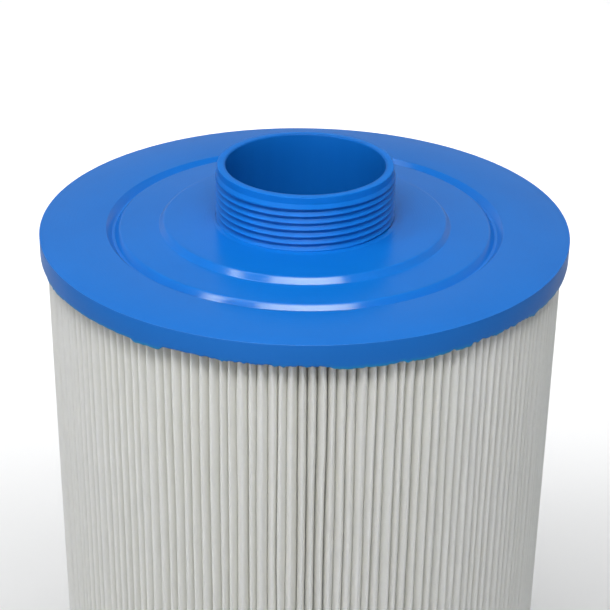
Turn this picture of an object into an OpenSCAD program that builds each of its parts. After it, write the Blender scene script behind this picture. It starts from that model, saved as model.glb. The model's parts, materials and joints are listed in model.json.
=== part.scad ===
// Pleated filter cartridge with one threaded end cap and one closed end cap.
// Millimetres, +Z up. The closed end rests on z = 0 and the threaded neck points up.

/* [Body] */
// Length from the rest face to the flat face of the threaded end cap
body_length = 206; // [140:1:400]
// Diameter of both end caps
cap_diameter = 148; // [110:1:220]
// Height of the side wall of each end cap
cap_height = 6; // [5:0.5:15]
// Chamfer on the outer edge of each end cap
cap_chamfer = 0.4; // [0.2:0.1:1]

/* [Cap face] */
// Height of the raised boss round the neck
boss_height = 1.7; // [0.5:0.1:4]
// Diameter of the boss at the foot of its bevel
boss_diameter = 81.8; // [72:0.2:96]
// Inner diameter of the ring groove, at the cap face
groove_inner_diameter = 103.6; // [98:0.2:105]
// Outer diameter of the ring groove, at the cap face
groove_outer_diameter = 111.2; // [108:0.2:130]
// Depth of the ring groove
groove_depth = 2; // [1:0.1:3]
// Width of the bevel on the boss and on the inner side of the groove
bevel_width = 1.3; // [0.5:0.1:2]

/* [Threaded neck] */
// Major diameter of the thread
thread_diameter = 50; // [44:0.5:56]
// Thread pitch
thread_pitch = 2; // [1.5:0.1:3]
// Number of thread grooves on the neck
thread_turns = 6; // [3:1:8]
// Height of the neck above the flat face of the cap
neck_height = 17.6; // [14:0.1:24]
// Water passage diameter in the neck
neck_bore = 44.4; // [36:0.2:46]
// Depth of the thread
thread_depth = 0.95; // [0.6:0.05:1.2]
// Diameter of the plain lead-in above the thread
lead_in_diameter = 49; // [43:0.5:55]

/* [Core] */
// Inner diameter of the perforated core
core_bore = 56; // [50:1:60]
// Wall thickness of the core
core_wall = 3; // [2:0.5:4]
// Windows in each row round the core
windows_round = 10; // [6:2:16]
// Rows of windows in each half of the core
window_rows = 7; // [4:1:8]
// Width and height of one window
window_size = [12, 9];
// Length of the push joint between the halves of the core
core_joint = 8; // [5:1:12]

/* [Media] */
// Number of pleats
pleats = 175; // [60:1:220]
// Thickness of the filter fabric
fabric_thickness = 0.45; // [0.3:0.05:0.5]
// Width of one pleat's tip
tip_width = 1.9; // [1:0.1:2.2]
// How far the pleats stand back from the edge of the end caps
pleat_setback = 1.7; // [1:0.1:4]

/* [Grip] */
// Diameter of the finger well in the closed end
well_diameter = 51; // [44:1:52]
// Depth of the finger well
well_depth = 21; // [15:1:30]
// Width and height of the grip bar
bar_size = [12, 9];
// Height of the bar's underside above the rest face
bar_rise = 0.8; // [0.5:0.1:2]

/* [Hidden] */
$fn = 180;
play = 0.1;
cut = 1;

cap_r = cap_diameter / 2;
boss_r = boss_diameter / 2;
groove_in_r = groove_inner_diameter / 2;
groove_out_r = groove_outer_diameter / 2;
groove_draft = 1.6;
cap_underside = body_length - cap_height;

bore_r = neck_bore / 2;
crest_r = thread_diameter / 2;
root_r = crest_r - thread_depth;
lead_in_r = lead_in_diameter / 2;
flank_run = thread_depth * tan(30);
root_half = (thread_pitch / 2 - flank_run) / 2;
neck_top = body_length + neck_height;
neck_edge = 0.4;
lead_in_start = neck_top - 1.5;
first_groove = neck_top - 3.95;
last_groove = first_groove - (thread_turns - 1) * thread_pitch;
thread_end = body_length + boss_height + 0.3;
waist_r = crest_r - 0.6;

core_in_r = core_bore / 2;
core_out_r = core_in_r + core_wall;
joint_r = core_in_r + core_wall / 2;
flange_r = core_out_r + 3;
flange_height = 3;
potting = 1;
spigot_r = core_in_r - play;
spigot_length = 13;
spigot_chamfer = 0.8;
core_base = cap_height - potting;
core_top = body_length - core_base;
core_split = (core_base + core_top) / 2;
row_pitch = 12.5;
first_row = core_base + 9;

media_out_r = cap_r - pleat_setback;
media_in_r = core_out_r + 0.2;
pleat_angle = 360 / pleats;
tip_half = tip_width / 2;
valley_gap = 0.05;

well_r = well_diameter / 2;
well_lip = 0.5;
mouth_r = core_out_r - 1;
cup_flange_base = core_base - flange_height;
cup_top = well_depth + 3;
cup_ceiling = well_lip + well_depth;
bar_round = 2.5;
tenon_reach = well_r + 3.3;
tenon_top = core_base - play;

blue = [0.20, 0.50, 0.86];
deep_blue = [0.08, 0.40, 0.78];
fabric_white = [0.80, 0.80, 0.77];
core_white = [0.90, 0.90, 0.88];

// The point at a radius and an angle, moved sideways by a small distance.
function polar(r, angle, side) =
    [r * cos(angle) - side * sin(angle), r * sin(angle) + side * cos(angle)];

// Half section of one cap from its flat face, which lies at height 0, down to its underside.
// centre is the stretch of the outline nearest the axis, from the underside up to the face.
module cap_ring(centre) {
    groove = [
        [groove_in_r, 0],
        [groove_in_r + bevel_width, -groove_depth],
        [groove_out_r - groove_draft, -groove_depth],
        [groove_out_r, 0]
    ];
    rim = [
        [cap_r - cap_chamfer, 0],
        [cap_r, -cap_chamfer],
        [cap_r, -cap_height]
    ];
    rotate_extrude()
        polygon(concat(centre, groove, rim));
}

// Cast ring that seals the top of the pleats and holds the neck.
module threaded_end_cap() {
    centre = [
        [core_out_r, -cap_height],
        [core_out_r, -core_base],
        [flange_r, -core_base],
        [flange_r, -cup_flange_base],
        [waist_r, -cup_flange_base],
        [waist_r, boss_height],
        [boss_r - bevel_width, boss_height],
        [boss_r, 0]
    ];
    color(blue)
        translate([0, 0, body_length])
            cap_ring(centre);
}

// Cast ring that seals the bottom of the pleats. Its flat face is the rest face.
module closed_end_cap() {
    centre = [
        [core_out_r, -cap_height],
        [core_out_r, -core_base],
        [flange_r, -core_base],
        [flange_r, -cup_flange_base],
        [mouth_r, -cup_flange_base],
        [mouth_r, 0]
    ];
    color(blue)
        mirror([0, 0, 1])
            cap_ring(centre);
}

// One groove of the thread, as outline points from its lower edge to its upper edge.
function groove_points(middle) = [
    [crest_r, middle - root_half - flank_run],
    [root_r, middle - root_half],
    [root_r, middle + root_half],
    [crest_r, middle + root_half + flank_run]
];

// Moulded adapter: a spigot in the core, a flange cast into the cap, and the threaded neck.
module threaded_neck() {
    spigot_end = core_top - spigot_length;
    foot = [
        [bore_r, spigot_end],
        [spigot_r - spigot_chamfer, spigot_end],
        [spigot_r, spigot_end + spigot_chamfer],
        [spigot_r, core_top],
        [flange_r, core_top],
        [flange_r, core_top + flange_height],
        [waist_r, core_top + flange_height],
        [waist_r, thread_end],
        [crest_r, thread_end]
    ];
    thread = [
        for (turn = [0 : thread_turns - 1])
            each groove_points(last_groove + turn * thread_pitch)
    ];
    lip = [
        [crest_r, lead_in_start - 0.3],
        [lead_in_r, lead_in_start],
        [lead_in_r, neck_top - neck_edge],
        [lead_in_r - neck_edge, neck_top],
        [bore_r + neck_edge, neck_top],
        [bore_r, neck_top - neck_edge]
    ];
    color(blue)
        rotate_extrude()
            polygon(concat(foot, thread, lip));
}

// Rows of windows, cut straight through both walls of the core.
module core_windows(lowest) {
    for (row = [0 : window_rows - 1])
        for (side = [0 : windows_round / 2 - 1])
            translate([0, 0, lowest + row * row_pitch])
                rotate([0, 0, side * 360 / windows_round])
                    cube([3 * core_out_r, window_size[0], window_size[1]], center = true);
}

// Lower half of the core, with a socket at its upper end.
module core_lower() {
    socket_base = core_split - core_joint;
    color(core_white)
        difference() {
            translate([0, 0, core_base])
                cylinder(r = core_out_r, h = core_split - core_base);
            translate([0, 0, core_base - cut])
                cylinder(r = core_in_r, h = core_split - core_base + 2 * cut);
            translate([0, 0, socket_base])
                cylinder(r = joint_r + play / 2, h = core_joint + cut);
            core_windows(first_row);
        }
}

// Upper half of the core, with a spigot at its lower end.
module core_upper() {
    spigot_base = core_split - core_joint;
    highest_row = core_top - (first_row - core_base);
    color(core_white)
        difference() {
            union() {
                translate([0, 0, core_split])
                    cylinder(r = core_out_r, h = core_top - core_split);
                translate([0, 0, spigot_base])
                    cylinder(r = joint_r - play / 2, h = core_joint + cut);
            }
            translate([0, 0, spigot_base - cut])
                cylinder(r = core_in_r, h = core_top - spigot_base + 2 * cut);
            core_windows(highest_row - (window_rows - 1) * row_pitch);
        }
}

// Outer face of the fabric: over each tip, then down into the valley beside it.
function outer_face(angle) = [
    polar(media_in_r + fabric_thickness, angle - pleat_angle / 2, valley_gap),
    polar(media_out_r, angle, -tip_half),
    polar(media_out_r, angle, tip_half),
    polar(media_in_r + fabric_thickness, angle + pleat_angle / 2, -valley_gap)
];

// Inner face of the fabric: under each tip, then round the fold at the core.
function inner_face(angle) = [
    polar(media_in_r, angle - pleat_angle / 2, valley_gap + fabric_thickness),
    polar(media_out_r - fabric_thickness, angle, fabric_thickness - tip_half),
    polar(media_out_r - fabric_thickness, angle, tip_half - fabric_thickness),
    polar(media_in_r, angle + pleat_angle / 2, -valley_gap - fabric_thickness)
];

// The filter fabric, folded into an endless ring of pleats between the two caps.
module pleated_media() {
    outside = [for (p = [0 : pleats - 1]) each outer_face(p * pleat_angle)];
    inside = [for (p = [0 : pleats - 1]) each inner_face(p * pleat_angle)];
    color(fabric_white)
        translate([0, 0, cap_height])
            linear_extrude(height = cap_underside - cap_height)
                difference() {
                    polygon(outside);
                    polygon(inside);
                }
}

// Slots in the mouth of the cup that take the ends of the grip bar.
module bar_slots() {
    slot_width = bar_size[0] + 2 * play;
    slot_length = 2 * (tenon_reach + play);
    translate([-slot_length / 2, -slot_width / 2, well_lip - cut])
        cube([slot_length, slot_width, core_base - well_lip + cut]);
}

// Moulded cup that closes the core and makes the finger well.
module grip_cup() {
    color(deep_blue)
        difference() {
            rotate_extrude()
                polygon([
                    [0, cup_ceiling],
                    [well_r, cup_ceiling],
                    [well_r, well_lip],
                    [mouth_r, well_lip],
                    [mouth_r, cup_flange_base],
                    [flange_r, cup_flange_base],
                    [flange_r, core_base],
                    [spigot_r, core_base],
                    [spigot_r, cup_top - spigot_chamfer],
                    [spigot_r - spigot_chamfer, cup_top],
                    [0, cup_top]
                ]);
            bar_slots();
        }
}

// Bar with rounded edges, lying along X with its underside at height 0.
module round_edged_bar(length, width, height, radius) {
    translate([-length / 2, -width / 2 + radius, 0])
        cube([length, width - 2 * radius, height]);
    translate([-length / 2, -width / 2, radius])
        cube([length, width, height - 2 * radius]);
    for (side = [-1, 1])
        for (level = [radius, height - radius])
            translate([-length / 2, side * (width / 2 - radius), level])
                rotate([0, 90, 0])
                    cylinder(r = radius, h = length, $fn = 48);
}

// Finger grip across the well. Its tenons are bonded into the slots of the cup.
module grip_bar() {
    tenon_width = bar_size[0] - 2 * bar_round;
    color(deep_blue)
        union() {
            intersection() {
                translate([0, 0, bar_rise])
                    round_edged_bar(2 * well_r, bar_size[0], bar_size[1], bar_round);
                cylinder(r = well_r - play, h = well_depth);
            }
            translate([-tenon_reach, -tenon_width / 2, bar_rise])
                cube([2 * tenon_reach, tenon_width, tenon_top - bar_rise]);
        }
}

threaded_end_cap();
threaded_neck();
core_upper();
core_lower();
pleated_media();
closed_end_cap();
grip_cup();
grip_bar();
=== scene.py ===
"""The looks of a pleated filter cartridge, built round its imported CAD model. Metres, +Z up."""

import json
import math
import random

import bmesh
import bpy
from mathutils import Matrix, Vector, noise


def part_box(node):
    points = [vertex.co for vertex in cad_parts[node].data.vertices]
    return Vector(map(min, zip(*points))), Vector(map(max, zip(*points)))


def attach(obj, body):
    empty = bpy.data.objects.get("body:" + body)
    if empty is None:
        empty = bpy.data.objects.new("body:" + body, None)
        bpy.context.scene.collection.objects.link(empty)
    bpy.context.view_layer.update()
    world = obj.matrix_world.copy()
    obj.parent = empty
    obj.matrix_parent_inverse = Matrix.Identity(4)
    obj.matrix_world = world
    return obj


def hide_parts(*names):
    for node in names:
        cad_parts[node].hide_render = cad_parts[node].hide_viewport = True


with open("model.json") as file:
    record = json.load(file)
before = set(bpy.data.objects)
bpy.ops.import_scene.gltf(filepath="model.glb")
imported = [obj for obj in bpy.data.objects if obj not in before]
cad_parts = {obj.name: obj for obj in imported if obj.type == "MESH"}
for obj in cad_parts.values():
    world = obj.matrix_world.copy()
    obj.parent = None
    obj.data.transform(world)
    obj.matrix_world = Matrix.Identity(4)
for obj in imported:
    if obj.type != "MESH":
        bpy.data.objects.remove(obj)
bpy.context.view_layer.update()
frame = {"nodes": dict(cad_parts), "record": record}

MM = 0.001
FRONT = -math.pi / 2
ROUND = 2 * math.pi

# ---------------------------------------------------------------- sizes, from the frame

MOUNTS = {m["name"]: m for m in frame["record"]["mounts"]}
CREST_R = MOUNTS["neck_thread"]["dims"]["r_mm"] * MM
BORE_R = MOUNTS["neck_port"]["dims"]["r_mm"] * MM

CAP_LOW, CAP_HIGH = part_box("threaded_end_cap")
CLOSED_LOW, CLOSED_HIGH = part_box("closed_end_cap")
NECK_LOW, NECK_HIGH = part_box("threaded_neck")
MEDIA_LOW, MEDIA_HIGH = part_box("pleated_media")
BAR_LOW, BAR_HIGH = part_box("grip_bar")
CUP_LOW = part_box("grip_cup")[0]
CORE_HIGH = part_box("core_upper")[1]
CORE_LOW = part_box("core_lower")[0]

CAP_R = CAP_HIGH.x
CAP_HEIGHT = CLOSED_HIGH.z - CLOSED_LOW.z
FACE = CAP_LOW.z + CAP_HEIGHT
BOSS_TOP = CAP_HIGH.z - FACE
FLANGE_R = NECK_HIGH.x
CORE_R = CORE_HIGH.x
MEDIA_R = MEDIA_HIGH.x

# ---------------------------------------------------------------- sizes of the visible detail

# The neck's thread: its grooves run along one helix, counted from FIRST_GROOVE at the front.
PITCH = 2.0 * MM
THREAD_DEPTH = 1.2 * MM
UNDER_FLANK = 0.42 * MM
LIT_FLANK = 1.48 * MM
FLANK_CURVE = 1.6
FIRST_GROOVE = FACE + 3.90 * MM
GROOVES = 6
THREAD_TOP = FACE + 14.45 * MM
THREAD_ROWS = 190
LEAD_IN_R = CREST_R - 0.5 * MM
LEAD_IN = FACE + 15.6 * MM

# The neck inside the cap: a spigot in the core, a flange on the core's end, and a waist over the flange.
# CUP_FLANGE is the top of the grip cup's flange over its lip, and SKIN the urethane below that flange.
SPIGOT_R = CORE_R - 3.1 * MM
SPIGOT_LENGTH = 13 * MM
FLANGE_HEIGHT = 3 * MM
WAIST_R = CREST_R - 0.6 * MM
CUP_FLANGE = 4.5 * MM
SKIN = 2 * MM

# The caps' cast faces. MENISCUS and CRACK are how the urethane meets the neck.
BOSS_R = 40.9 * MM
GROOVE_IN_R = 51.8 * MM
GROOVE_OUT_R = 55.6 * MM
GROOVE_DEPTH = 2.0 * MM
GROOVE_FLOOR = -0.9 * GROOVE_DEPTH
WALL_DRAFT = 1.6 * MM
BEVEL = 1.3 * MM
MENISCUS = 0.35 * MM
CRACK = 0.16 * MM
CRACK_DEPTH = 0.5 * MM

# The fabric: PLEATS folds between the core and the tips, with valleys that part a little at the outside.
PLEATS = 175
PLEAT_PITCH = ROUND / PLEATS
FABRIC = 0.45 * MM
TIP_POWER = 2.0
MIDWAY_R = 52 * MM
MIDWAY_SHARE = 0.88
FOLD_FLOOR = CORE_R + 0.65 * MM
VALLEY_DEPTH = 1.9 * MM
VALLEY_SPREAD = 0.7 * MM
VALLEY_GAP = 0.008 * MM
OPEN_DEPTH = 3.4 * MM
OPEN_GAP = 0.04 * MM
OPEN_VALLEYS = (PLEATS - 1, 0, 1, 2, 57, 103, 141)

# The grip bar's body ends on a circle that just fits the finger well, and its middle is narrower.
WELL_R = 25.4 * MM
BAR_WAIST = 0.10

# Steps round a turned piece and round a cap, and the angle from which an edge stays crisp.
ROUND_STEPS = 720
CAP_STEPS = 1440
CRISP = math.radians(38)

# Colours and gloss shared by several materials
BLACK = (0, 0, 0)
WHITE = (1, 1, 1)
BLUE_GLOSS = (0.94, 1.0, 0.72, 1)


# ---------------------------------------------------------------- mesh helpers

def rounded(corners, steps=6):
    """The outline through (r, z, radius) corners, each corner replaced by an arc of its radius."""
    points = []
    for i, (r, z, radius) in enumerate(corners):
        here = Vector((r, z))
        if radius == 0 or i in (0, len(corners) - 1):
            points.append(here)
            continue
        before = (Vector(corners[i - 1][:2]) - here).normalized()
        after = (Vector(corners[i + 1][:2]) - here).normalized()
        half = before.angle(after) / 2
        reach = radius / math.tan(half)
        centre = here + (before + after).normalized() * radius / math.sin(half)
        start = here + before * reach - centre
        end = here + after * reach - centre
        sweep = start.angle_signed(end)
        for k in range(steps + 1):
            points.append(centre + Matrix.Rotation(-sweep * k / steps, 2) @ start)
    return [(p.x, p.y) for p in points]


def make_object(name, verts, faces, solid=False):
    """A smooth-shaded mesh. A solid one has its normals turned outward and its edges kept crisp."""
    mesh = bpy.data.meshes.new(name)
    mesh.from_pydata(verts, [], faces)
    mesh.update()
    mesh.shade_smooth()
    if solid:
        work = bmesh.new()
        work.from_mesh(mesh)
        bmesh.ops.recalc_face_normals(work, faces=work.faces)
        work.to_mesh(mesh)
        work.free()
        mesh.set_sharp_from_angle(angle=CRISP)
    piece = bpy.data.objects.new(name, mesh)
    bpy.context.scene.collection.objects.link(piece)
    return piece


def turned(name, outline, steps=ROUND_STEPS):
    """A surface of revolution. outline is a function of the angle that gives a list of (r, z) points."""
    verts, faces = [], []
    rows = len(outline(0.0))
    for j in range(steps):
        angle = ROUND * j / steps
        c, s = math.cos(angle), math.sin(angle)
        verts += [(r * c, r * s, z) for r, z in outline(angle)]
    for j in range(steps):
        here, there = j * rows, (j + 1) % steps * rows
        for i in range(rows):
            k = (i + 1) % rows
            faces.append((here + i, there + i, there + k, here + k))
    return make_object(name, verts, faces, solid=True)


def wander(angle, scale, seed):
    """Smooth noise from -1 to 1 that closes on itself round the axis."""
    return noise.noise(Vector((scale * math.cos(angle), scale * math.sin(angle), seed)))


def smoothstep(low, high, x):
    """0 below low, 1 above high, and a smooth rise between them."""
    t = min(1.0, max(0.0, (x - low) / (high - low)))
    return t * t * (3 - 2 * t)


def give(piece, material, slot, *nodes):
    """Puts a finished piece into the frame: its material, its body and the CAD nodes it stands for."""
    piece.data.materials.clear()
    piece.data.materials.append(material)
    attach(piece, "root")
    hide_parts(*nodes)


# ---------------------------------------------------------------- material helpers

class Nodes:
    """A small builder for one material's node tree."""

    def __init__(self, name):
        self.material = bpy.data.materials.new(name)
        self.material.use_nodes = True
        self.tree = self.material.node_tree
        self.shader = self.tree.nodes["Principled BSDF"]
        self.where = self.tree.nodes.new("ShaderNodeTexCoord").outputs["Object"]

    def add(self, kind, **inputs):
        """A new node. An underscore in an input's name stands for a space."""
        node = self.tree.nodes.new(kind)
        for name, value in inputs.items():
            self.set(node, name.replace("_", " "), value)
        return node

    def set(self, node, name, value):
        """Links value to an input if it is a socket, or else sets the input to it."""
        if isinstance(value, bpy.types.NodeSocket):
            self.tree.links.new(value, node.inputs[name])
        else:
            node.inputs[name].default_value = value

    def noise(self, scale, detail=3.0, roughness=0.5, stretch=(1, 1, 1)):
        """Noise in object space. A stretch below 1 draws it out along that axis."""
        mapping = self.add("ShaderNodeMapping", Vector=self.where, Scale=stretch)
        texture = self.add("ShaderNodeTexNoise", Scale=scale, Detail=detail, Roughness=roughness)
        self.set(texture, "Vector", mapping.outputs["Vector"])
        return texture.outputs["Fac"]

    def radius(self):
        """Distance from the part's axis."""
        flat = self.add("ShaderNodeMapping", Vector=self.where, Scale=(1, 1, 0))
        length = self.tree.nodes.new("ShaderNodeVectorMath")
        length.operation = "LENGTH"
        self.set(length, "Vector", flat.outputs["Vector"])
        return length.outputs["Value"]

    def rings(self, scale):
        """Noise that changes only with the distance from the part's axis, as turning marks do."""
        texture = self.tree.nodes.new("ShaderNodeTexNoise")
        texture.noise_dimensions = "1D"
        self.set(texture, "Scale", scale)
        self.set(texture, "W", self.radius())
        return texture.outputs["Fac"]

    def ramp(self, value, *stops):
        """A colour ramp through (position, colour) stops."""
        node = self.add("ShaderNodeValToRGB", Fac=value)
        elements = node.color_ramp.elements
        while len(elements) < len(stops):
            elements.new(0.5)
        for element, (position, colour) in zip(elements, stops):
            element.position = position
            element.color = (*colour, 1)
        return node.outputs["Color"]

    def mix(self, factor, first, second):
        """The first colour where factor is 0 and the second where it is 1."""
        node = self.tree.nodes.new("ShaderNodeMix")
        node.data_type = "RGBA"
        sockets = {s.identifier: s for s in node.inputs}
        for name, value in (("Factor_Float", factor), ("A_Color", first), ("B_Color", second)):
            if isinstance(value, bpy.types.NodeSocket):
                self.tree.links.new(value, sockets[name])
            else:
                sockets[name].default_value = value if name == "Factor_Float" else (*value, 1)
        return next(s for s in node.outputs if s.identifier == "Result_Color")

    def between(self, value, low, high, start=0.0, end=1.0):
        """value mapped so that start becomes low and end becomes high, held there outside them."""
        node = self.add(
            "ShaderNodeMapRange", Value=value, From_Min=start, From_Max=end, To_Min=low, To_Max=high
        )
        return node.outputs["Result"]

    def maths(self, operation, *values):
        """One arithmetic step on sockets."""
        node = self.tree.nodes.new("ShaderNodeMath")
        node.operation = operation
        for socket, value in zip(node.inputs, values):
            self.tree.links.new(value, socket)
        return node.outputs["Value"]

    def attribute(self, name):
        """A number stored at each point of the mesh."""
        node = self.tree.nodes.new("ShaderNodeAttribute")
        node.attribute_name = name
        return node.outputs["Fac"]

    def bump(self, height, distance, normal=None):
        """A bump of the given depth in metres, on top of another normal if there is one."""
        node = self.add("ShaderNodeBump", Height=height, Distance=distance, Strength=1.0)
        if normal is not None:
            self.set(node, "Normal", normal)
        return node.outputs["Normal"]

    def finish(self, **inputs):
        """Sets the shader's inputs and gives the material."""
        for name, value in inputs.items():
            self.set(self.shader, name.replace("_", " "), value)
        return self.material


# ---------------------------------------------------------------- materials

def grey(level):
    return (level, level, level)


def cast_urethane():
    """Poured blue urethane: glossy, a little uneven, with pinholes and a satin side wall.

    It is paler where it thins to a film.
    """
    m = Nodes("cast_urethane")
    cloud = m.noise(28, detail=4)
    speck = m.noise(2600, detail=1)
    colour = m.ramp(cloud, (0.3, (0.003, 0.148, 0.560)), (0.7, (0.005, 0.162, 0.600)))
    dust = m.ramp(speck, (0.70, BLACK), (0.76, grey(0.35)))
    colour = m.mix(dust, colour, (0.03, 0.19, 0.55))
    colour = m.mix(m.attribute("film"), colour, (0.01, 0.30, 0.55))
    swell = m.bump(m.noise(55, detail=2), 0.00009, normal=m.bump(m.rings(2600), 0.00003))
    pinholes = m.bump(m.ramp(speck, (0.22, BLACK), (0.30, WHITE)), 0.00002, normal=swell)
    satin = m.between(m.radius(), 0, 0.30, CAP_R - 0.25 * MM, CAP_R - 0.02 * MM)
    rough = m.maths("ADD", satin, m.between(m.noise(400, detail=4), 0.13, 0.21))
    return m.finish(
        Base_Color=colour, Roughness=rough, Normal=pinholes, IOR=1.5, Specular_Tint=BLUE_GLOSS
    )


def neck_plastic():
    """Injection-moulded blue plastic with faint orange peel and flow marks, and painted shade that
    darkens it inside the neck.
    """
    m = Nodes("neck_plastic")
    flow = m.noise(160, detail=3, stretch=(1, 1, 0.12))
    colour = m.ramp(flow, (0.3, (0.003, 0.156, 0.590)), (0.7, (0.005, 0.170, 0.630)))
    # Painted shade: the plastic is darkened inside the neck, where little light reaches its wall.
    bore_painted_shade = m.between(m.radius(), 0.38, 0, BORE_R + 0.3 * MM, BORE_R + 0.9 * MM)
    colour = m.mix(bore_painted_shade, colour, (0.002, 0.050, 0.260))
    peel = m.bump(m.noise(900, detail=2), 0.00001)
    rough = m.between(m.noise(300, detail=3), 0.30, 0.38)
    return m.finish(
        Base_Color=colour, Roughness=rough, Normal=peel, Specular_IOR_Level=0.14,
        Specular_Tint=BLUE_GLOSS
    )


def filter_fabric():
    """Spun-bonded polyester: off-white pressed fibres, a little uneven and slightly see-through."""
    m = Nodes("filter_fabric")
    patch = m.noise(45, detail=3, stretch=(1, 1, 0.5))
    fibre = m.noise(1500, detail=5, roughness=0.7, stretch=(1, 1, 0.35))
    tint = m.ramp(patch, (0.3, (0.885, 0.880, 0.805)), (0.7, (0.920, 0.915, 0.850)))
    thin_spots = m.ramp(fibre, (0.35, grey(0.12)), (0.65, BLACK))
    colour = m.mix(thin_spots, tint, (0.68, 0.68, 0.64))
    press = m.bump(m.noise(260, detail=3), 0.00007)
    fuzz = m.bump(fibre, 0.00005, normal=press)
    return m.finish(
        Base_Color=colour, Roughness=0.88, Normal=fuzz, Specular_IOR_Level=0.25,
        Sheen_Weight=0.25, Sheen_Roughness=0.5,
        Subsurface_Weight=0.9, Subsurface_Radius=(1.0, 0.98, 0.92), Subsurface_Scale=0.0014
    )


def core_plastic():
    """Natural white plastic of the perforated core, with soft mould marks."""
    m = Nodes("core_plastic")
    cloud = m.noise(60, detail=4)
    colour = m.ramp(cloud, (0.3, (0.74, 0.75, 0.73)), (0.7, (0.84, 0.85, 0.83)))
    rough = m.between(m.noise(350, detail=3), 0.35, 0.55)
    return m.finish(Base_Color=colour, Roughness=rough, Normal=m.bump(m.noise(800), 0.00002))


def grip_plastic():
    """Blue moulded plastic of the cup and bar, satin, with handling marks."""
    m = Nodes("grip_plastic")
    cloud = m.noise(70, detail=4)
    rub = m.noise(240, detail=5, roughness=0.7)
    colour = m.ramp(cloud, (0.3, (0.003, 0.105, 0.410)), (0.7, (0.005, 0.122, 0.455)))
    worn = m.ramp(rub, (0.62, BLACK), (0.72, grey(0.25)))
    colour = m.mix(worn, colour, (0.03, 0.18, 0.52))
    rough = m.between(rub, 0.24, 0.42)
    grain = m.bump(m.noise(1400, detail=2), 0.000015)
    return m.finish(Base_Color=colour, Roughness=rough, Normal=grain, IOR=1.49)


def pale_floor_painted_shade():
    """A pale sweep with painted shade: light grey in front of the part and to its sides, where it stands
    in for darker surroundings, and nearly white behind it.
    """
    m = Nodes("pale_floor_painted_shade")
    place = m.add("ShaderNodeSeparateXYZ", Vector=m.where)
    cloud = m.ramp(m.noise(3, detail=3), (0.3, grey(0.50)), (0.7, grey(0.53)))
    # Painted shade: the floor is grey in front of the part and at its sides, so less light comes back
    # from it onto the part and the rim reflects less of it.
    behind = m.between(place.outputs["Y"], 0, 1, -0.35, 0.10)
    colour = m.mix(behind, cloud, grey(0.92))
    aside = m.between(m.maths("ABSOLUTE", place.outputs["X"]), 0, 1, 0.22, 0.55)
    colour = m.mix(aside, colour, grey(0.47))
    return m.finish(Base_Color=colour, Roughness=0.9, Specular_IOR_Level=0.1)


# ---------------------------------------------------------------- the cast end caps

# Stretches of the rim where urethane ran over the mould's edge, or fell short of it: middle and half
# width in degrees from the front, how far it hangs down in mm, and how ragged it is in mm.
SPILLS = [
    (-64, 6, 0.45, 0.7), (-47, 15, 0.26, 0.1), (-32, 4, 0.8, 0.2), (-23, 6, -0.3, 0.3),
    (-6, 13, 0.0, 0.9), (12, 7.5, 0.85, 0.5), (24.5, 6.5, 0.8, 0.8), (33, 2.5, 0.8, 0.8),
    (45, 12, 0.15, 0.9), (62, 12, 0.4, 0.5), (95, 16, 0.2, 0.8), (140, 10, 0.0, 0.9),
    (-118, 14, 0.3, 0.8), (-160, 20, 0.1, 0.6)
]


def flash(angle, turn):
    """How far the ragged lower edge hangs past the rim, and how thin it is there, from 0 to 1.

    turn is how far round the spills are turned from where SPILLS has them.
    """
    bearing = math.degrees(angle - FRONT - turn)
    hang = 0.10 * wander(angle, 3, 5.0) + 0.15 * wander(angle, 45, 9.0)
    thin = 0.0
    for middle, half, drop, ragged in SPILLS:
        off = abs((bearing - middle + 180) % 360 - 180)
        inside = 1 - smoothstep(0.7 * half, half, off)
        torn = 0.6 * wander(angle, 40, middle) + 0.4 * wander(angle, 110, middle)
        hang += inside * (drop + ragged * torn)
        thin = max(thin, inside * smoothstep(0.0, 0.5, drop + ragged * torn))
    return hang * MM, thin


def cap_outline(centre):
    """Rounded outline of a cap from its underside by the axis, over its face, to its side wall.

    Heights are from the cap's face.
    """
    return rounded(centre + [
        (GROOVE_IN_R, 0, 1.0 * MM),
        (GROOVE_IN_R + 1.15 * BEVEL, GROOVE_FLOOR, 0.35 * MM),
        (GROOVE_OUT_R - WALL_DRAFT, GROOVE_FLOOR, 0.35 * MM),
        (GROOVE_OUT_R, 0, 0.3 * MM),
        (CAP_R, 0, 0.12 * MM),
        (CAP_R, -CAP_HEIGHT + 1.6 * MM, 0)
    ])


def cast_cap(name, centre, face_z, up, turn):
    """A cast end cap, with its thinness at each point stored as film.

    centre is a function of the bearing in degrees that gives the part of the outline nearest the axis,
    from the underside up. up is 1 for a face that looks up and -1 for one that looks down.
    """
    film = []

    def outline(angle):
        base = cap_outline(centre(math.degrees(angle - FRONT)))
        hang, thin = flash(angle, turn)
        edge = -CAP_HEIGHT - hang
        lip = [
            (CAP_R, edge + 1.0 * MM),
            (CAP_R - 0.01 * MM, edge + 0.5 * MM),
            (CAP_R - 0.06 * MM, edge + 0.12 * MM),
            (CAP_R - 0.18 * MM, edge),
            (CAP_R - 0.55 * MM, edge + 0.05 * MM),
            (CAP_R - 0.85 * MM, min(edge + 0.4 * MM, -CAP_HEIGHT)),
            (MEDIA_R - 0.5 * MM, -CAP_HEIGHT),
            (CORE_R + 2 * MM, -CAP_HEIGHT)
        ]
        film.extend([0.0] * len(base))
        film.extend(share * thin for share in (0.0, 0.5, 0.9, 1.0, 0.8, 0.0, 0.0, 0.0))
        return [(r, face_z + up * z) for r, z in base + lip]

    piece = turned(name, outline, CAP_STEPS)
    # turned asks for one outline more, to count its points, before those it uses.
    values = film[-len(piece.data.vertices):]
    piece.data.attributes.new("film", "FLOAT", "POINT").data.foreach_set("value", values)
    return piece


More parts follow.
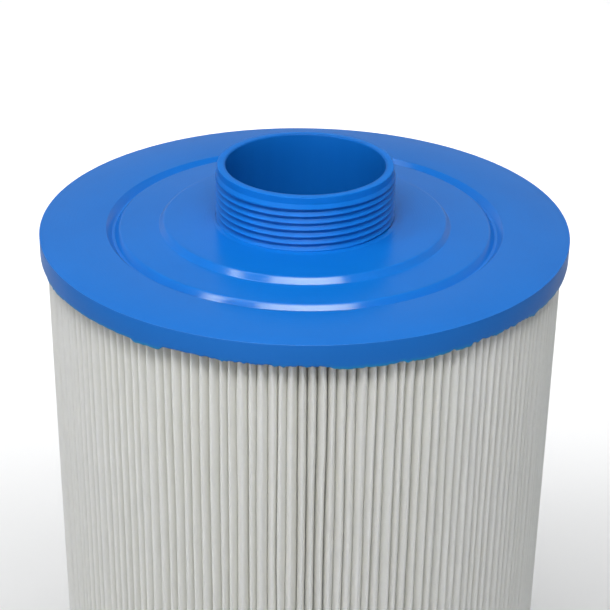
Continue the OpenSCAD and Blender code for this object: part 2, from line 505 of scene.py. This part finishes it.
def threaded_end_cap():
    """The boss creeps a little way up the neck, except at the neck's sides, where a crack is left."""
    flange_top = NECK_LOW.z + SPIGOT_LENGTH + FLANGE_HEIGHT - FACE
    flange_base = flange_top - FLANGE_HEIGHT

    def centre(bearing):
        aside = abs((bearing + 180) % 360 - 180)
        crack = smoothstep(64, 84, aside) * (1 - smoothstep(116, 136, aside))
        creep = BOSS_TOP + MENISCUS * (1 - crack)
        edge = CREST_R + CRACK * crack
        return [
            (CORE_R, -CAP_HEIGHT, 0),
            (CORE_R, flange_base, 0),
            (FLANGE_R, flange_base, 0),
            (FLANGE_R, flange_top, 0),
            (WAIST_R, flange_top, 0),
            (WAIST_R, creep - CRACK_DEPTH * crack, 0),
            (edge - 0.03 * MM, creep - CRACK_DEPTH * crack, 0),
            (edge - 0.02 * MM, creep, 0),
            (CREST_R + 1.1 * MM, BOSS_TOP, 0.8 * MM),
            (BOSS_R - BEVEL, BOSS_TOP, 0.8 * MM),
            (BOSS_R, 0, 0.35 * MM)
        ]

    return cast_cap("cap_threaded_cast", centre, FACE, 1, 0)


def closed_end_cap():
    """The same cap with its face down, cast round the cup's flange and open inside the core."""
    mouth = CORE_R - 1.0 * MM
    flange_top = -CUP_LOW.z - CUP_FLANGE
    centre = [
        (CORE_R, -CAP_HEIGHT, 0),
        (CORE_R, flange_top, 0),
        (FLANGE_R, flange_top, 0),
        (FLANGE_R, -SKIN, 0),
        (mouth, -SKIN, 0),
        (mouth, 0, 0.3 * MM)
    ]
    return cast_cap("cap_closed_cast", lambda bearing: centre, 0, -1, math.radians(110))


# ---------------------------------------------------------------- the threaded neck

def thread_radius(angle, z):
    """Radius of the neck's thread: V grooves along a right-handed helix that runs out at both ends."""
    turn = ((angle - FRONT) / ROUND + 0.5) % 1 - 0.5
    along = (z - FIRST_GROOVE) / PITCH - turn
    groove = math.ceil(along - UNDER_FLANK / PITCH)
    travelled = groove + turn
    starts = smoothstep(-0.95, -0.75, travelled)
    ends = smoothstep(GROOVES - 0.75, GROOVES - 0.5, travelled)
    off = (along - groove) * PITCH
    if off > 0:
        depth = 1 - min(1.0, off / UNDER_FLANK)
    else:
        depth = 1 - min(1.0, -off / LIT_FLANK) ** FLANK_CURVE
    return CREST_R - THREAD_DEPTH * starts * (1 - ends) * depth


def threaded_neck():
    """The neck from its spigot in the core to its rim, with the thread cut along a helix."""
    core_top = NECK_LOW.z + SPIGOT_LENGTH
    flange_top = core_top + FLANGE_HEIGHT
    foot = rounded([
        (BORE_R, NECK_LOW.z + 4 * MM, 0),
        (BORE_R, NECK_LOW.z, 0.3 * MM),
        (SPIGOT_R, NECK_LOW.z, 0.8 * MM),
        (SPIGOT_R, core_top, 0),
        (FLANGE_R, core_top, 0.3 * MM),
        (FLANGE_R, flange_top, 0.3 * MM),
        (WAIST_R, flange_top, 0),
        (WAIST_R, FACE + BOSS_TOP - 0.1 * MM, 0)
    ], steps=3)
    lip = rounded([
        (CREST_R, THREAD_TOP, 0),
        (CREST_R, THREAD_TOP + 0.05 * MM, 0.05 * MM),
        (LEAD_IN_R, LEAD_IN, 0.3 * MM),
        (LEAD_IN_R, NECK_HIGH.z, 0.22 * MM),
        (BORE_R, NECK_HIGH.z, 0.35 * MM),
        (BORE_R, NECK_HIGH.z - 6 * MM, 0)
    ], steps=5)
    bottom = FACE + BOSS_TOP + 0.1 * MM
    span = THREAD_TOP - 0.05 * MM - bottom
    heights = [bottom + span * i / THREAD_ROWS for i in range(THREAD_ROWS + 1)]

    def outline(angle):
        thread = [(thread_radius(angle, z), z) for z in heights]
        thread[0] = (thread[0][0] - 0.3 * MM, bottom)
        return foot + thread + lip

    return turned("neck_moulded", outline)


# ---------------------------------------------------------------- the pleated fabric

def valley_facts():
    """The valley to the right of each pleat, drawn once and the same each run.

    bearing is its angle at rest, depth is how far in the two pleats meet, and gap is half the crack left
    where they meet.
    """
    draw = random.Random(27)
    facts = []
    for p in range(PLEATS):
        facts.append({
            "bearing": FRONT + PLEAT_PITCH * (p + 0.5 + 0.20 * (draw.random() - 0.5)),
            "depth": VALLEY_DEPTH + VALLEY_SPREAD * draw.random(),
            "gap": VALLEY_GAP,
            "seed": 40 * draw.random()
        })
    for p in OPEN_VALLEYS:
        facts[p]["depth"] = OPEN_DEPTH
        facts[p]["gap"] = OPEN_GAP
    return facts


def valley_angle(fact, z):
    """A valley's angle at one height: a slow drift and a faint ripple about its bearing."""
    drift = noise.noise(Vector((fact["seed"], 0, z / (42 * MM))))
    ripple = noise.noise(Vector((fact["seed"], 7, z / (12 * MM))))
    return fact["bearing"] + PLEAT_PITCH * (0.13 * drift + 0.025 * ripple)


def pleat_section(left, right, facts, tip, z):
    """One pleat at one height, from its left flank over its tip to the fold at the core on its right.

    left and right are the angles of the valleys beside it, facts is what is drawn for each, and tip is
    the pleat's own lean and how low it stands. Near the caps, which hold them, the pleats stand
    straight and the valleys are deeper.
    """
    ends = min(z - MEDIA_LOW.z, MEDIA_HIGH.z - z)
    loose = smoothstep(-2 * MM, 11 * MM, ends)
    before, after = facts
    held = 1.6 * MM * (1 - loose)
    top = MEDIA_R - tip["low"] * loose - 0.06 * MM
    middle = (left + right) / 2
    half = (right - left) / 2
    lean = tip["lean"] * loose
    points = [(MIDWAY_R, middle - half * MIDWAY_SHARE)]
    for side, fact in ((-1, before), (1, after)):
        depth = fact["depth"] + held
        reach = half - fact["gap"] / MEDIA_R
        flank = []
        for s in (0.16, 0.34, 0.52, 0.69, 0.84, 0.95, 1.0):
            r = top - depth * s ** TIP_POWER
            flank.append((r, middle + side * reach * s + lean * half * (1 - s * s)))
        flank.append((top - depth - 1.4 * MM, middle + side * reach))
        if side == -1:
            flank.reverse()
            flank.append((top, middle + lean * half))
        points += flank
    fold = 0.10 * MM / FOLD_FLOOR
    points.append((MIDWAY_R, middle + half * MIDWAY_SHARE))
    points.append((FOLD_FLOOR + 0.25 * MM, right - fold))
    points.append((FOLD_FLOOR, right))
    points.append((FOLD_FLOOR + 0.25 * MM, right + fold))
    return points


def pleated_media():
    """The whole fabric: one sheet, folded in and out round the core and closed on itself."""
    valleys = valley_facts()
    draw = random.Random(5)
    tips = []
    for _ in valleys:
        tips.append({"low": 0.30 * MM * draw.random() ** 2, "lean": 0.5 * (draw.random() - 0.5)})
    # The rows of points, in mm: ends from either end of the fabric, and middle from its lower end
    ends = [0, 1.5, 3, 5, 7.5, 10.5, 14, 18, 23, 29]
    middle = [36 + 6.78 * i for i in range(19)]
    heights = [MEDIA_LOW.z + e * MM for e in ends + middle]
    heights += [MEDIA_HIGH.z - e * MM for e in reversed(ends)]
    verts, faces = [], []
    for z in heights:
        angles = [valley_angle(fact, z) for fact in valleys]
        for p, tip in enumerate(tips):
            left = angles[p - 1] - (ROUND if p == 0 else 0)
            for r, a in pleat_section(left, angles[p], (valleys[p - 1], valleys[p]), tip, z):
                verts.append((r * math.cos(a), r * math.sin(a), z))
    ring = len(verts) // len(heights)
    for row in range(len(heights) - 1):
        for i in range(ring):
            k = (i + 1) % ring
            here, over = row * ring, (row + 1) * ring
            faces.append((here + i, here + k, over + k, over + i))
    piece = make_object("media_pleats", verts, faces)
    thickness = piece.modifiers.new("fabric_thickness", "SOLIDIFY")
    thickness.thickness = FABRIC
    thickness.offset = -1
    return piece


# ---------------------------------------------------------------- the grip in the closed end

def grip_bar():
    """A bar with rounded edges, slightly waisted in the middle, with a lower tenon at each end.

    It is made of sections across X, each with its own bottom and top, and its body ends on the well's
    round wall.
    """
    reach = BAR_HIGH.x
    steps, around = 72, 40
    body = []
    for i in range(steps + 1):
        body.append((WELL_R * math.cos(math.pi * (1 - i / steps)), BAR_LOW.z, BAR_HIGH.z))
    tenon = (BAR_LOW.z + 0.1 * MM, CORE_LOW.z - 0.1 * MM)
    stations = [(-reach, *tenon), (-WELL_R, *tenon), *body, (WELL_R, *tenon), (reach, *tenon)]
    verts, faces = [], []
    for x, low, high in stations:
        waist = 1 - BAR_WAIST * (1 - smoothstep(0, 18 * MM, abs(x)))
        for j in range(around):
            c, s = math.cos(ROUND * j / around), math.sin(ROUND * j / around)
            y = BAR_HIGH.y * waist * math.copysign(abs(c) ** 0.45, c)
            z = (low + high) / 2 + (high - low) / 2 * math.copysign(abs(s) ** 0.5, s)
            limit = reach if abs(x) == reach else math.sqrt(WELL_R ** 2 - y ** 2)
            verts.append((max(-limit, min(limit, x)), y, z))
    last = len(stations) - 1
    for i in range(last):
        here, there = i * around, (i + 1) * around
        for j in range(around):
            k = (j + 1) % around
            faces.append((here + j, here + k, there + k, there + j))
    faces.append(tuple(range(around - 1, -1, -1)))
    faces.append(tuple(last * around + j for j in range(around)))
    return make_object("grip_bar_moulded", verts, faces, solid=True)


# ---------------------------------------------------------------- the stage

def camera():
    """Looks down on the threaded cap from in front. Distances are in cap radii from the cap's face."""
    data = bpy.data.cameras.new("camera")
    data.sensor_width = 36
    data.lens = 97.4
    data.clip_start, data.clip_end = 0.01, 30
    eye = bpy.data.objects.new("camera", data)
    bpy.context.scene.collection.objects.link(eye)
    tilt, roll = math.radians(26.79), math.radians(0.77)
    place = Vector((0.005, -5.747, 2.545)) * CAP_R + Vector((0, 0, FACE))
    turn = Matrix.Rotation(math.pi / 2 - tilt, 4, "X") @ Matrix.Rotation(roll, 4, "Z")
    eye.matrix_world = Matrix.Translation(place) @ turn
    bpy.context.scene.camera = eye


def soft_box(name, bearing, elevation, distance, size, watts, aim=(0, 0, 0), spread=180):
    """A rectangular light that looks at aim, which is measured from the middle of the cap's face.

    bearing is in degrees to the right of the front, and spread is the light's cone in degrees.
    """
    data = bpy.data.lights.new(name, "AREA")
    data.shape = "RECTANGLE"
    data.size, data.size_y = size
    data.energy = watts
    data.spread = math.radians(spread)
    light = bpy.data.objects.new(name, data)
    bpy.context.scene.collection.objects.link(light)
    b, e = math.radians(bearing), math.radians(elevation)
    way = Vector((math.sin(b) * math.cos(e), -math.cos(b) * math.cos(e), math.sin(e)))
    light.location = Vector((0, 0, FACE)) + Vector(aim) + way * distance
    light.rotation_euler = way.to_track_quat("Z", "Y").to_euler()


def stage():
    """A pale floor, grey with painted shade in front of the part and at its sides, and a studio that is
    bright near the horizon and dim overhead.
    """
    reach = 4
    corners = [(-reach, -reach, 0), (reach, -reach, 0), (reach, reach, 0), (-reach, reach, 0)]
    floor = make_object("floor", corners, [(0, 1, 2, 3)])
    floor.location.z = -0.4 * MM
    floor.data.materials.append(pale_floor_painted_shade())
    world = bpy.data.worlds.new("studio")
    world.use_nodes = True
    nodes, links = world.node_tree.nodes, world.node_tree.links
    horizon, zenith = 0.50, 0.06
    way = nodes.new("ShaderNodeSeparateXYZ")
    fade = nodes.new("ShaderNodeMapRange")
    fade.inputs["To Min"].default_value = horizon
    fade.inputs["To Max"].default_value = zenith
    links.new(nodes.new("ShaderNodeTexCoord").outputs["Generated"], way.inputs["Vector"])
    links.new(way.outputs["Z"], fade.inputs["Value"])
    links.new(fade.outputs["Result"], nodes["Background"].inputs["Strength"])
    nodes["Background"].inputs["Color"].default_value = (0.93, 0.96, 1.0, 1)
    bpy.context.scene.world = world
    bpy.context.scene.view_settings.view_transform = "Standard"
    soft_box("key", 2, 52, 0.46, (0.35, 0.11), 0.39, spread=100)
    soft_box("overhead", -24, 70, 0.46, (0.60, 0.30), 0.46, spread=100)
    soft_box("strip", -62, 47, 0.60, (0.08, 0.15), 0.42)
    soft_box("low", -26, 14, 1.1, (0.9, 0.5), 0.68, spread=100)
    soft_box("backdrop", 0, 61, 1.1, (1.4, 0.3), 6.0, (0, 0.78, -0.2), 88)


# ---------------------------------------------------------------- assembly

def build():
    """Makes the visual pieces, and gives the CAD's own core and grip cup their materials."""
    urethane, neck, fabric = cast_urethane(), neck_plastic(), filter_fabric()
    core, grip = core_plastic(), grip_plastic()
    give(threaded_end_cap(), urethane, "cast_urethane", "threaded_end_cap")
    give(closed_end_cap(), urethane, "cast_urethane", "closed_end_cap")
    give(threaded_neck(), neck, "neck_plastic", "threaded_neck")
    media = pleated_media()
    give(media, fabric, "filter_fabric", "pleated_media")
    give(grip_bar(), grip, "grip_plastic", "grip_bar")
    for node, material in (("core_upper", core), ("core_lower", core), ("grip_cup", grip)):
        for slot in frame["nodes"][node].material_slots:
            slot.material = material


camera()
stage()
build()
